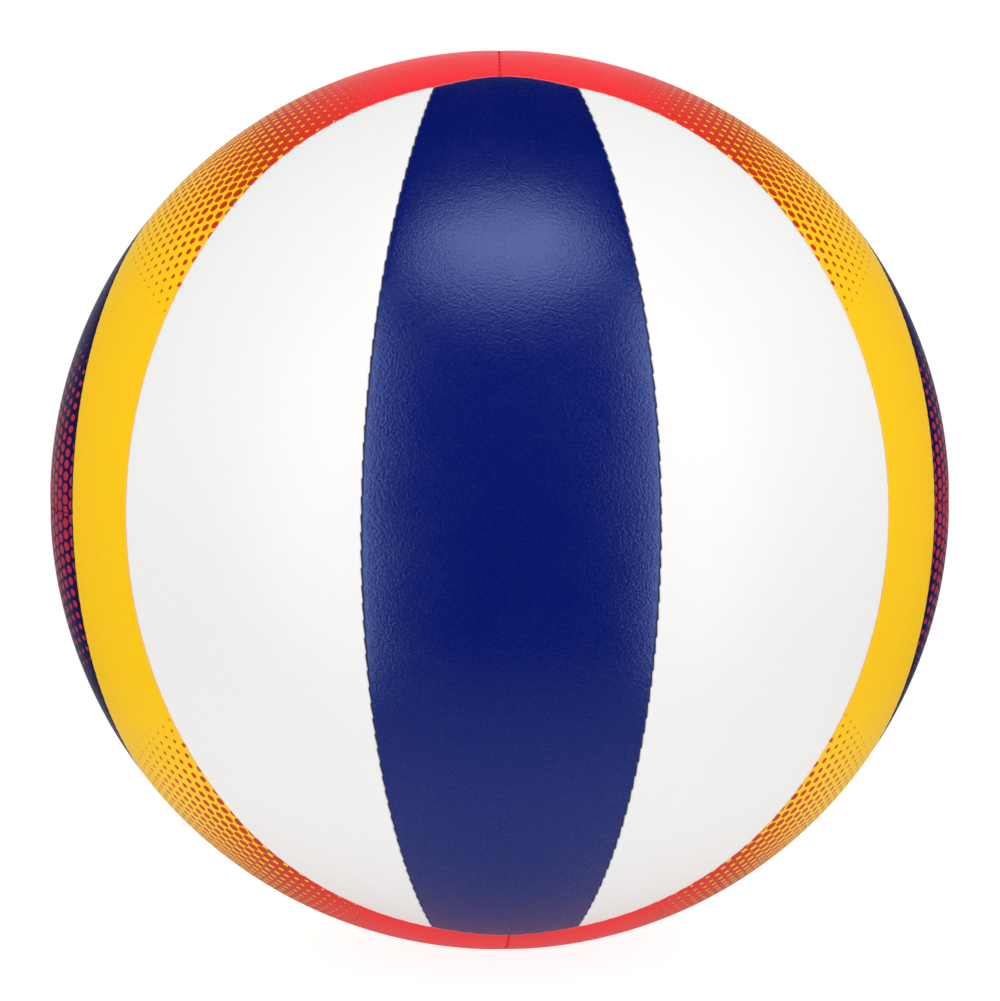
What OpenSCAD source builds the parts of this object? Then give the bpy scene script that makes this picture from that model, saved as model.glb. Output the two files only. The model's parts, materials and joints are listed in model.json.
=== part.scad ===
// Stitched volleyball: ten cover panels on foam and cloth, a rubber bladder and a needle valve.
// The ball is two like halves. Each half has an oval of three strips inside a pair of C-shaped
// bands, and the rear half is the front half turned a quarter turn, so the halves interlock.
// The origin is the centre of the ball. The front oval faces -Y, and the valve faces +Y.

/* [Ball] */
// Outer diameter of the inflated ball, from a girth of 670 mm
ball_d = 213.2; // [207:0.1:217]

/* [Cover layers] */
// Thickness of the synthetic leather skin
skin_t = 0.8; // [0.5:0.05:1.2]
// Thickness of the foam under the skin
foam_t = 2.4; // [1.5:0.1:3.5]
// Thickness of the cloth lining under the foam
lining_t = 0.5; // [0.3:0.05:0.8]
// Glue line between two layers
glue_t = 0.1; // [0.05:0.01:0.2]

/* [Seams] */
// Gap between the turned-in edges of two panels
seam_gap = 0.1; // [0.05:0.01:0.3]
// Radius of the shoulder where a skin rolls into a seam
shoulder_r = 1.0; // [0.8:0.1:1.6]

/* [Panel layout, angles at the centre of the ball] */
// Middle of the oval to its edge, across the strips
oval_side = 49.8; // [47:0.1:52]
// Middle of the oval to its edge, along the strips
oval_end = 62.6; // [60:0.1:64]
// How far the centre of the oval's long side arc lies beyond the middle
side_lean = 24; // [22:0.1:26]
// Middle of the oval to the strip seam, half way up
strip_middle = 16; // [14:0.1:18]
// Lean of the strip seam's circle, which makes the centre strip narrower at its ends
strip_lean = 15.2; // [13:0.1:17]
// Middle of the oval to the seam between the halves, at the band's narrow waist
waist = 64.1; // [62.5:0.1:67]

/* [Bladder and valve] */
// Wall of the rubber bladder
bladder_t = 0.8; // [0.5:0.05:1.5]
// Diameter of the valve head that shows on the cover
valve_head_d = 9; // [8:0.1:11]
// Depth of the valve head under the surface of the ball
valve_recess = 0.4; // [0.2:0.05:0.8]
// Diameter of the valve's flange inside the bladder
valve_flange_d = 26; // [20:0.5:32]
// Thickness of the flange
valve_flange_t = 1.4; // [1:0.1:2]
// Diameter of the valve's tube inside the bladder
valve_tube_d = 8; // [7.6:0.1:10]
// Length of the valve, from its head to the inner end of its tube
valve_l = 20; // [16:0.5:26]
// Diameter of the self-sealing plug
plug_d = 5; // [4:0.1:5.5]
// Length of the plug
plug_l = 12; // [8:0.5:13]
// Depth of the plug under the valve's head
plug_recess = 0.3; // [0.1:0.05:0.6]
// Diameter of the needle's way through the plug and the tube, for a 2 mm needle
needle_d = 2.2; // [2.1:0.05:2.4]
// Diameter of the cloth patch that stiffens the cover round the valve
patch_d = 32; // [28:0.5:36]
// Thickness of the cloth patch
patch_t = 0.4; // [0.3:0.05:0.6]
// Clearance round the valve parts
valve_fit = 0.1; // [0.05:0.01:0.2]

/* [Hidden] */
$fn = 120;

// Overrun of a cut past the surface that it cuts
overrun = 4;
// Reach of a panel's cone past the ball, as a share of the ball's radius
reach_share = 1.3;
// Straight steps that round a shoulder
shoulder_steps = 2;
// Straight steps along the seams: end arc over the centre strip and over the side strip,
// half of the side arc, a quarter of the seam between the halves, and a band's own seam
cap_steps = 2;
corner_steps = 4;
side_steps = 6;
lobe_steps = (cap_steps + corner_steps + side_steps) / 2;
band_steps = 8;

// Radii of the layers, from the outside in
ball_r = ball_d / 2;
foam_r = ball_r - skin_t - glue_t;
lining_r = foam_r - foam_t - glue_t;
cover_in_r = lining_r - lining_t;
bladder_r = cover_in_r - glue_t;
bladder_in_r = bladder_r - bladder_t;
foam_in_r = foam_r - foam_t;

// The valve, by distances from the ball's centre
valve_top = ball_r - valve_recess;
valve_bottom = valve_top - valve_l;
flange_r = bladder_in_r - glue_t;
plug_top = valve_top - plug_recess;

// Drawn in from the seam: the edge of a skin, and the edge of the layers inside it
skin_inset = seam_gap / 2;
layer_inset = skin_inset + skin_t + glue_t;

function unit(v) = v / norm(v);
function flip_x(p) = [-p[0], p[1], p[2]];
function flip_z(p) = [p[0], p[1], -p[2]];
function backwards(list) = [for (i = [len(list) - 1 : -1 : 0]) list[i]];
// All but the last item, so that runs of points join without doubles
function open_run(list) = [for (i = [0 : len(list) - 2]) list[i]];

// Directions along the circle about an axis, from one direction on it to another
function arc(axis, from, to, steps) = let (
  height = axis * (from * axis),
  out = from - height,
  across = cross(axis, out),
  sweep = atan2(to * across, to * out)
) [for (i = [0 : steps]) height + out * cos(sweep * i / steps) + across * sin(sweep * i / steps)];

// Where two circles on the ball cross, on the side that their axes' cross product points to
function crossing(axis_a, angle_a, axis_b, angle_b) = let (
  dot = axis_a * axis_b,
  share_a = (cos(angle_a) - dot * cos(angle_b)) / (1 - dot * dot),
  share_b = (cos(angle_b) - dot * cos(angle_a)) / (1 - dot * dot),
  foot = share_a * axis_a + share_b * axis_b
) foot + unit(cross(axis_a, axis_b)) * sqrt(1 - foot * foot);

// The oval: long arcs at the sides, and end arcs that run smoothly into them
side_angle = oval_side + side_lean;
spare_angle = side_angle - oval_end;
end_lean = atan((cos(spare_angle) - cos(side_lean)) / sin(spare_angle));
end_angle = oval_end - end_lean;
side_axis = [-sin(side_lean), -cos(side_lean), 0];
end_axis = [0, -cos(end_lean), sin(end_lean)];
side_middle = [sin(oval_side), -cos(oval_side), 0];
end_middle = [0, -cos(oval_end), sin(oval_end)];
toward_end = unit(end_axis - side_axis * (end_axis * side_axis));
oval_corner = side_axis * cos(side_angle) + toward_end * sin(side_angle);

// The strip seam: a circle a little short of the widest
strip_axis = [cos(strip_lean), sin(strip_lean), 0];
strip_angle = 90 - strip_middle + strip_lean;
strip_top = crossing(end_axis, end_angle, strip_axis, strip_angle);

// The seam between the halves: lobes of either half, that run smoothly into each other
lobe_lean = atan((sin(waist) - sqrt(1 / 2)) / cos(waist));
rear_lobe_axis = [cos(lobe_lean), sin(lobe_lean), 0];
front_lobe_axis = [0, -sin(lobe_lean), cos(lobe_lean)];
waist_middle = [sin(waist), -cos(waist), 0];
lobe_turn = unit([1, 0, 1]);
lobe_top = [0, cos(waist), sin(waist)];

// Runs of directions along the seams of the right-hand upper quarter
cap_run = arc(end_axis, end_middle, strip_top, cap_steps);
corner_run = arc(end_axis, strip_top, oval_corner, corner_steps);
side_run = arc(side_axis, oval_corner, side_middle, side_steps);
rear_lobe_run = arc(rear_lobe_axis, waist_middle, lobe_turn, lobe_steps);
front_lobe_run = arc(front_lobe_axis, lobe_turn, lobe_top, lobe_steps);
band_run = arc([1, 0, 0], lobe_top, end_middle, band_steps);
strip_run = arc(strip_axis, strip_top, flip_z(strip_top), 2 * (corner_steps + side_steps));

// Runs from the top of the oval or its corner with a strip, down to the like place at the bottom
function down_and_on(run) = concat(open_run(run), backwards([for (p = run) flip_z(p)]));
corner_to_corner = down_and_on(concat(open_run(corner_run), side_run));
oval_half = down_and_on(concat(open_run(cap_run), open_run(corner_run), side_run));
lobes_half = down_and_on(backwards(concat(open_run(rear_lobe_run), front_lobe_run)));

// Outlines of the panels, counter-clockwise seen from outside. The centre strip and the band start
// in the middle of one end, and the side strip starts at one of its two corners, so that a line
// across from one half of the run to the other always stays on the panel.
centre_outline = let (
  bottom = [for (p = cap_run) flip_z(p)],
  right = backwards(strip_run),
  half = concat(open_run(bottom), open_run(right), backwards(cap_run))
) concat(open_run(half), open_run([for (p = backwards(half)) flip_x(p)]));
side_outline = concat(open_run(backwards(corner_to_corner)), open_run(strip_run));
half_band_run = [for (i = [band_steps / 2 : band_steps]) band_run[i]];
other_half_band_run = [for (i = [0 : band_steps / 2]) band_run[i]];
band_outline = concat(
  open_run(half_band_run),
  open_run(oval_half),
  open_run([for (p = backwards(band_run)) flip_z(p)]),
  open_run(backwards(lobes_half)),
  open_run(other_half_band_run)
);

module blue() color([0.06, 0.10, 0.44]) children();
module white() color([0.95, 0.95, 0.96]) children();
module yellow() color([0.98, 0.80, 0.10]) children();
module navy() color([0.12, 0.11, 0.35]) children();
module foam_grey() color([0.80, 0.80, 0.78]) children();
module cloth() color([0.90, 0.89, 0.84]) children();
module rubber() color([0.14, 0.14, 0.15]) children();

// Direction in which each corner of an outline moves, for each millimetre that its sides draw in
function draw_in(outline) = let (
  n = len(outline),
  inward = [for (i = [0 : n - 1]) unit(cross(outline[i], outline[(i + 1) % n]))]
) [
  for (i = [0 : n - 1])
    let (before = inward[(i + n - 1) % n], after = inward[i])
      (before + after) / (1 + before * after)
];

// Distance from the centre and draw-in of each ring round a panel, from the hollow outwards
function plain_rings(inner_r, inset) = [
  [inner_r - overrun, inset],
  [ball_r * reach_share, inset]
];
function rolled_rings(inner_r, inset, round_r) = let (
  step = 90 / shoulder_steps,
  shoulder = [
    for (i = [0 : shoulder_steps])
      [ball_r - round_r * (1 - sin(i * step)), inset + round_r * (1 - cos(i * step))]
  ],
  last = shoulder[shoulder_steps],
  run_out = last + unit(last - shoulder[shoulder_steps - 1]) * round_r
) concat([[inner_r - overrun, inset]], open_run(shoulder), [run_out, [ball_r * reach_share, run_out[1]]]);

// A cone from the hollow of the ball to beyond its surface, round an outline that is drawn in by rings
module panel_cone(outline, rings) {
  n = len(outline);
  half = n / 2;
  top = (len(rings) - 1) * n;
  moves = draw_in(outline);
  points = [
    for (ring = rings, i = [0 : n - 1])
      let (aside = moves[i] * ring[1])
        aside + outline[i] * sqrt(ring[0] * ring[0] - aside * aside)
  ];
  walls = [
    for (k = [0 : len(rings) - 2], i = [0 : n - 1])
      let (a = k * n + i, b = k * n + (i + 1) % n)
        each [[a, a + n, b + n], [a, b + n, b]]
  ];
  floor_faces = [
    for (i = [0 : half - 1])
      each [
        if (i < half - 1) [i, i + 1, n - i - 1],
        if (i > 0) [i, n - i - 1, n - i]
      ]
  ];
  roof_faces = [for (f = floor_faces) [f[2] + top, f[1] + top, f[0] + top]];
  polyhedron(points, concat(walls, floor_faces, roof_faces));
}

// A hollow sphere between two radii
module ball_layer(outer_r, inner_r) {
  difference() {
    sphere(r = outer_r);
    sphere(r = inner_r);
  }
}

// A layer of a panel
module panel_layer(outline, outer_r, inner_r, inset) {
  intersection() {
    ball_layer(outer_r, inner_r);
    panel_cone(outline, plain_rings(inner_r, inset));
  }
}

// A skin: a shallow tray with its edges turned in and its shoulders rolled
module skin(outline) {
  difference() {
    intersection() {
      ball_layer(ball_r, cover_in_r);
      panel_cone(outline, rolled_rings(cover_in_r, skin_inset, shoulder_r));
    }
    panel_layer(outline, ball_r - skin_t, cover_in_r - overrun, skin_inset + skin_t);
  }
}

module foam(outline) {
  panel_layer(outline, foam_r, foam_r - foam_t, layer_inset);
}

module lining(outline) {
  panel_layer(outline, lining_r, cover_in_r, layer_inset);
}

// Places of the front half's pieces, and the turn that makes the rear half
module left() mirror([1, 0, 0]) children();
module rear() rotate(a = 180, v = [1, 0, 1]) children();

// Turns +Z to the valve's axis, +Y
module along_valve() rotate([-90, 0, 0]) children();

// A round hole or rod along the valve's axis, between two distances from the ball's centre
module valve_rod(d, from, to) {
  along_valve() translate([0, 0, from]) cylinder(h = to - from, r = d / 2);
}

// Cuts the hole for the valve from a layer of the cover or from the bladder
module with_valve_hole() {
  difference() {
    children();
    valve_rod(valve_head_d + 2 * valve_fit, valve_bottom, ball_r + overrun);
  }
}

// Cuts the shallow seat for the patch from the inside of the foam
module with_patch_seat() {
  difference() {
    children();
    intersection() {
      ball_layer(foam_in_r + patch_t + glue_t, foam_in_r - overrun);
      valve_rod(patch_d + 2 * glue_t, valve_bottom, ball_r);
    }
  }
}

module front_centre_skin() blue() skin(centre_outline);
module front_right_skin() white() skin(side_outline);
module front_left_skin() white() left() skin(side_outline);
module front_right_band_skin() yellow() skin(band_outline);
module front_left_band_skin() yellow() left() skin(band_outline);
module rear_centre_skin() blue() with_valve_hole() rear() skin(centre_outline);
module rear_upper_skin() white() rear() skin(side_outline);
module rear_lower_skin() white() rear() left() skin(side_outline);
module rear_upper_band_skin() navy() rear() skin(band_outline);
module rear_lower_band_skin() navy() rear() left() skin(band_outline);

module front_centre_foam() foam_grey() foam(centre_outline);
module front_right_foam() foam_grey() foam(side_outline);
module front_left_foam() foam_grey() left() foam(side_outline);
module front_right_band_foam() foam_grey() foam(band_outline);
module front_left_band_foam() foam_grey() left() foam(band_outline);
module rear_centre_foam() foam_grey() with_patch_seat() with_valve_hole() rear() foam(centre_outline);
module rear_upper_foam() foam_grey() rear() foam(side_outline);
module rear_lower_foam() foam_grey() rear() left() foam(side_outline);
module rear_upper_band_foam() foam_grey() rear() foam(band_outline);
module rear_lower_band_foam() foam_grey() rear() left() foam(band_outline);

module front_centre_lining() cloth() lining(centre_outline);
module front_right_lining() cloth() lining(side_outline);
module front_left_lining() cloth() left() lining(side_outline);
module front_right_band_lining() cloth() lining(band_outline);
module front_left_band_lining() cloth() left() lining(band_outline);
module rear_centre_lining() cloth() with_valve_hole() rear() lining(centre_outline);
module rear_upper_lining() cloth() rear() lining(side_outline);
module rear_lower_lining() cloth() rear() left() lining(side_outline);
module rear_upper_band_lining() cloth() rear() lining(band_outline);
module rear_lower_band_lining() cloth() rear() left() lining(band_outline);

// The patch is glued between the foam and the lining, round the valve's hole
module valve_patch() {
  cloth() with_valve_hole() intersection() {
    ball_layer(foam_in_r + patch_t, foam_in_r);
    valve_rod(patch_d, valve_bottom, ball_r);
  }
}

module bladder() {
  rubber() with_valve_hole() ball_layer(bladder_r, bladder_in_r);
}

// The valve: a neck through the cover, a flange inside the bladder and a tube that holds the plug
module valve_body() {
  rubber() difference() {
    union() {
      valve_rod(valve_head_d, flange_r - valve_flange_t / 2, valve_top);
      valve_rod(valve_tube_d, valve_bottom, flange_r - valve_flange_t / 2);
      intersection() {
        ball_layer(flange_r, flange_r - valve_flange_t);
        valve_rod(valve_flange_d, valve_bottom, ball_r);
      }
    }
    valve_rod(plug_d + 2 * valve_fit, plug_top - plug_l, ball_r);
    valve_rod(needle_d, valve_bottom - overrun, plug_top);
  }
}

// The self-sealing plug that the inflating needle goes through
module valve_plug() {
  rubber() difference() {
    valve_rod(plug_d, plug_top - plug_l, plug_top);
    valve_rod(needle_d, plug_top - plug_l - overrun, plug_top + overrun);
  }
}

front_centre_skin();
front_left_skin();
front_right_skin();
front_left_band_skin();
front_right_band_skin();
rear_centre_skin();
rear_upper_skin();
rear_lower_skin();
rear_upper_band_skin();
rear_lower_band_skin();
front_centre_foam();
front_left_foam();
front_right_foam();
front_left_band_foam();
front_right_band_foam();
rear_centre_foam();
rear_upper_foam();
rear_lower_foam();
rear_upper_band_foam();
rear_lower_band_foam();
front_centre_lining();
front_left_lining();
front_right_lining();
front_left_band_lining();
front_right_band_lining();
rear_centre_lining();
rear_upper_lining();
rear_lower_lining();
rear_upper_band_lining();
rear_lower_band_lining();
bladder();
valve_body();
valve_plug();
valve_patch();
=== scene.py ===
"""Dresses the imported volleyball: stitched leather panels over foam and cloth, a valve, and a white studio."""

import json
import logging
from contextlib import contextmanager
from dataclasses import dataclass, replace
from enum import Enum
from math import acos, atan, cos, exp, pi, radians, sin, sqrt, tan
from typing import Callable, Iterator, Sequence

import bpy
import numpy as np
from mathutils import Matrix, Vector


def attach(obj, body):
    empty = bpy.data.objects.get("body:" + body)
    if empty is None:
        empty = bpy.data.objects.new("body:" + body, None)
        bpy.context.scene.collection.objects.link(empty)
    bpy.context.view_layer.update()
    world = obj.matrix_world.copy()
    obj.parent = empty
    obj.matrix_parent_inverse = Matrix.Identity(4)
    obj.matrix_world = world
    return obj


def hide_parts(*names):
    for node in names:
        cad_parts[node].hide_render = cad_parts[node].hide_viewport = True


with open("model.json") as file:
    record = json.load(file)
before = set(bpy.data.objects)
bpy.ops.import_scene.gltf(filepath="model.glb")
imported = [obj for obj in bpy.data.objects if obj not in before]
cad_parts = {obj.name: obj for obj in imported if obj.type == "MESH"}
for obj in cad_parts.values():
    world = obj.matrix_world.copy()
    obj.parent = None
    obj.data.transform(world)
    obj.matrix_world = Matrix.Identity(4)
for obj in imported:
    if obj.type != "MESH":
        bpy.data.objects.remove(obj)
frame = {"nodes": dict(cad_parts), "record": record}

LOG = logging.getLogger("volleyball")
MM = 0.001
ROOT = "root"
THREAD_SLOT = "seam_thread"
SMOOTH_BELOW = radians(55)
STRAIGHT_ON = 0.9999
BALL_R = -next(m for m in frame["record"]["mounts"] if m["name"] == "rest_ring")["pos_m"][2]
SLOTS = {row["node"]: row["material_slot"] for row in frame["record"]["subparts"]}
UPSIDE_DOWN = np.array([1, 1, -1])
HALF_TURN = Matrix.Rotation(pi, 4, Vector((1, 0, 1)))
Array = np.ndarray
Piece = bpy.types.Object
Colour = tuple[float, float, float]
Materials = dict[str, bpy.types.Material]


def srgb(*levels: int) -> Colour:
    """A colour given as a picture shows it, from 0 to 255, as linear light."""
    shares = (level / 255 for level in levels)
    return tuple(s / 12.92 if s <= 0.04045 else ((s + 0.055) / 1.055) ** 2.4 for s in shares)


def scaled(colour: Colour, share: float) -> Colour:
    """A colour made darker or lighter."""
    return tuple(level * share for level in colour)


def unit(vector: Array) -> Array:
    """The same direction, one long. An array of vectors is made one long each."""
    return vector / np.linalg.norm(vector, axis=-1, keepdims=True)


def select_only(piece: Piece) -> None:
    """Deselects everything, then selects one object and makes it the active one.

    Args:
        piece: The object.
    """
    bpy.ops.object.select_all(action="DESELECT")
    piece.select_set(True)
    bpy.context.view_layer.objects.active = piece


@contextmanager
def edit_mode(piece: Piece, all_selected: bool = True) -> Iterator[None]:
    """Edit mode on one object, as long as a with block lasts.

    Args:
        piece: The object.
        all_selected: Whether the block starts with the whole mesh selected.

    Returns:
        The block's context.
    """
    select_only(piece)
    bpy.ops.object.mode_set(mode="EDIT")
    if all_selected:
        bpy.ops.mesh.select_all(action="SELECT")
    yield
    bpy.ops.object.mode_set(mode="OBJECT")


def read(rows: bpy.types.bpy_prop_collection, name: str, width: int = 1, kind: type = float) -> Array:
    """One property of every row of a mesh's data.

    Args:
        rows: The mesh's vertices, or an attribute's rows.
        name: The property's name.
        width: How many numbers it has.
        kind: Their type.

    Returns:
        A row of numbers for each, or one number for each if the width is 1.
    """
    values = np.zeros(len(rows) * width, kind)
    rows.foreach_get(name, values)
    return values.reshape(-1, width) if width > 1 else values


def crossing(axis_a: Array, angle_a: float, axis_b: Array, angle_b: float) -> tuple[Array, Array]:
    """Where two circles on the ball cross.

    Args:
        axis_a: The first circle's axis.
        angle_a: Its angle from the axis.
        axis_b: The second circle's axis.
        angle_b: Its angle from the axis.

    Returns:
        The middle of the line between the two crossings, and the step from there to one of them.
    """
    dot, cos_a, cos_b = axis_a @ axis_b, cos(angle_a), cos(angle_b)
    foot = (axis_a * (cos_a - dot * cos_b) + axis_b * (cos_b - dot * cos_a)) / (1 - dot * dot)
    return foot, unit(np.cross(axis_a, axis_b)) * sqrt(1 - foot @ foot)


@dataclass(frozen=True)
class Sewing:
    """The small shape that the thread pulls into a seam, in metres."""

    tooth: float
    pucker: float


class Stitching(Enum):
    """How a seam is sewn, which shows in how its edges lie."""

    STRIP = Sewing(tooth=0.30 * MM, pucker=0.10 * MM)
    PLAIN = Sewing(tooth=0.12 * MM, pucker=0.08 * MM)
    BAND_END = Sewing(tooth=0.0, pucker=0.28 * MM)


@dataclass(frozen=True)
class Bow:
    """How a seam strays from its circle between two places on it, as angles at the ball's centre.

    middle swells it halfway, tilt to one side and then the other, and quarters nearer both ends.
    """

    first: Array
    last: Array
    middle: float = 0.0
    tilt: float = 0.0
    quarters: float = 0.0

    def stray(self, share: Array) -> Array:
        """The angle off the circle, at shares of the way from -1 at the first place to 1 at the last."""
        level = 1 - share * share
        return level * (level * self.middle + share * self.tilt + share * share * self.quarters)

    def flipped(self, turn: Array) -> "Bow":
        """The mirror image of the bow."""
        return replace(self, first=self.first * turn, last=self.last * turn)


@dataclass(frozen=True)
class Seam:
    """One sewn stretch: an arc of a circle on the ball, about an axis through its centre."""

    axis: Array
    angle: float
    start: Array
    end: Array
    stitches: int
    cuts: int
    stitching: Stitching
    bow: Bow | None = None
    lean: int = 1

    @property
    def edges(self) -> int:
        """How many edges the meshes have along the seam."""
        return self.stitches * self.cuts

    @property
    def spokes(self) -> tuple[Array, Array]:
        """The directions out from the axis at the seam's start and a quarter turn on."""
        out = unit(self.start - self.axis * (self.start @ self.axis))
        return out, np.cross(self.axis, out)

    def azimuth(self, directions: Array) -> Array:
        """Angles round the seam's axis, from the seam's start."""
        out, across = self.spokes
        return np.arctan2(directions @ across, directions @ out)

    def spoke(self, turn: Array | float) -> Array:
        """The directions straight out from the axis at azimuths, one to a row."""
        out, across = self.spokes
        return np.outer(np.cos(turn), out) + np.outer(np.sin(turn), across)

    def stray(self, turn: Array) -> Array:
        """How far the seam strays from its circle, as an angle, at azimuths from its start.

        Args:
            turn: The azimuths.

        Returns:
            An angle at the ball's centre for each.
        """
        if not self.bow:
            return turn * 0.0
        first, last = self.azimuth(self.bow.first), self.azimuth(self.bow.last)
        return self.bow.stray(np.clip((turn - first) / (last - first), 0, 1) * 2 - 1)

    def flipped(self, x: int = 1, z: int = 1) -> "Seam":
        """The mirror image in the ball's upright middle plane, its level one, or both.

        Args:
            x: -1 to mirror left to right.
            z: -1 to mirror top to bottom.

        Returns:
            The seam on the other side, started at the like end.
        """
        turn = np.array([x, 1, z])
        return replace(self, axis=self.axis * turn, start=self.start * turn, end=self.end * turn,
                       bow=self.bow and self.bow.flipped(turn), lean=self.lean * x * z)


@dataclass(frozen=True)
class Run:
    """A seam as a panel's outline follows it, with the panel on the left-hand side."""

    seam: Seam
    backward: bool = False

    @property
    def first(self) -> Array:
        """Where the run starts."""
        return self.seam.end if self.backward else self.seam.start

    @property
    def takes_painted_seam_light(self) -> bool:
        """Whether the seam colour, painted shade on most leathers and a painted highlight on the yellow, is
        laid along the run, as on all but a band's end.
        """
        return self.seam.stitching is not Stitching.BAND_END

    @property
    def sense(self) -> int:
        """1 where the run goes anticlockwise about the seam's axis, with the panel on the axis's side."""
        sense = 1 if self.seam.azimuth(self.seam.end) > 0 else -1
        return -sense if self.backward else sense

    @property
    def steps(self) -> tuple[Array, Array]:
        """Each edge's number along the run, and how far through its stitch it starts, from 0 to 1."""
        step, edges, cuts = np.arange(self.seam.edges), self.seam.edges, self.seam.cuts
        return step, (edges - step if self.backward else step) % cuts / cuts

    def heading(self, place: Array) -> Array:
        """The direction of travel at a place on the run."""
        return unit(np.cross(self.seam.axis, place)) * self.sense

    def drawn_angle(self, inset: float, turn: Array) -> Array:
        """The seam's angle from its axis, at azimuths, once it is drawn in by a distance."""
        return self.seam.angle + self.seam.stray(turn) - self.sense * inset / BALL_R


def outline(seams: dict[str, Seam], names: str) -> tuple[Run, ...]:
    """The runs along the named seams, with a minus before the name of each that is followed backward."""
    return tuple(Run(seams[name.lstrip("-")], name[0] == "-") for name in names.split())


def other_way(runs: Sequence[Run]) -> tuple[Run, ...]:
    """The same outline followed the other way round, as a mirrored panel needs it."""
    return tuple(Run(run.seam, not run.backward) for run in reversed(runs))


def corner(before: Run, after: Run, inset: float) -> Array:
    """Where two runs of an outline meet, once the outline is drawn in.

    Args:
        before: The run that ends at the corner.
        after: The run that starts there.
        inset: How far the outline is drawn in, in metres.

    Returns:
        The corner's direction from the ball's centre.
    """
    place = after.first
    heading = after.heading(place)
    if before.heading(place) @ heading > STRAIGHT_ON:
        reach = inset / BALL_R - after.sense * float(after.seam.stray(after.seam.azimuth(place)))
        return place * cos(reach) + np.cross(place, heading) * sin(reach)
    circles = [(run.seam.axis, run.drawn_angle(inset, run.seam.azimuth(place))) for run in (before, after)]
    foot, rise = crossing(*circles[0], *circles[1])
    return foot + rise if rise @ place > 0 else foot - rise


def distance(directions: Array, runs: Sequence[Run], overlap: float = 0.05) -> Array:
    """How far places on the ball lie from the nearest of some runs.

    Args:
        directions: The places, as directions from the ball's centre.
        runs: The runs.
        overlap: How far past its ends a run still counts, as an angle about its axis.

    Returns:
        The distances on the surface, in metres.
    """
    nearest = np.full(len(directions), pi)
    for seam in (run.seam for run in runs):
        turn, sweep = seam.azimuth(directions), seam.azimuth(seam.end)
        off = np.abs(np.arccos(np.clip(directions @ seam.axis, -1, 1)) - seam.angle - seam.stray(turn))
        beside = np.abs(turn * np.sign(sweep) - abs(sweep) / 2) < abs(sweep) / 2 + overlap
        nearest = np.where(beside, np.minimum(nearest, off), nearest)
    return nearest * BALL_R


@dataclass(frozen=True)
class Drift:
    """How far one side's seams were sewn outwards of their drawn places, in metres."""

    strip_top: float
    strip_middle: float
    strip_foot: float
    strip_quarters: float
    end_top: float
    end_foot: float
    strip_tilt: float = 0.0
    cap_top: float = 2.5 * MM
    cap_foot: float = 1.0 * MM


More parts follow.
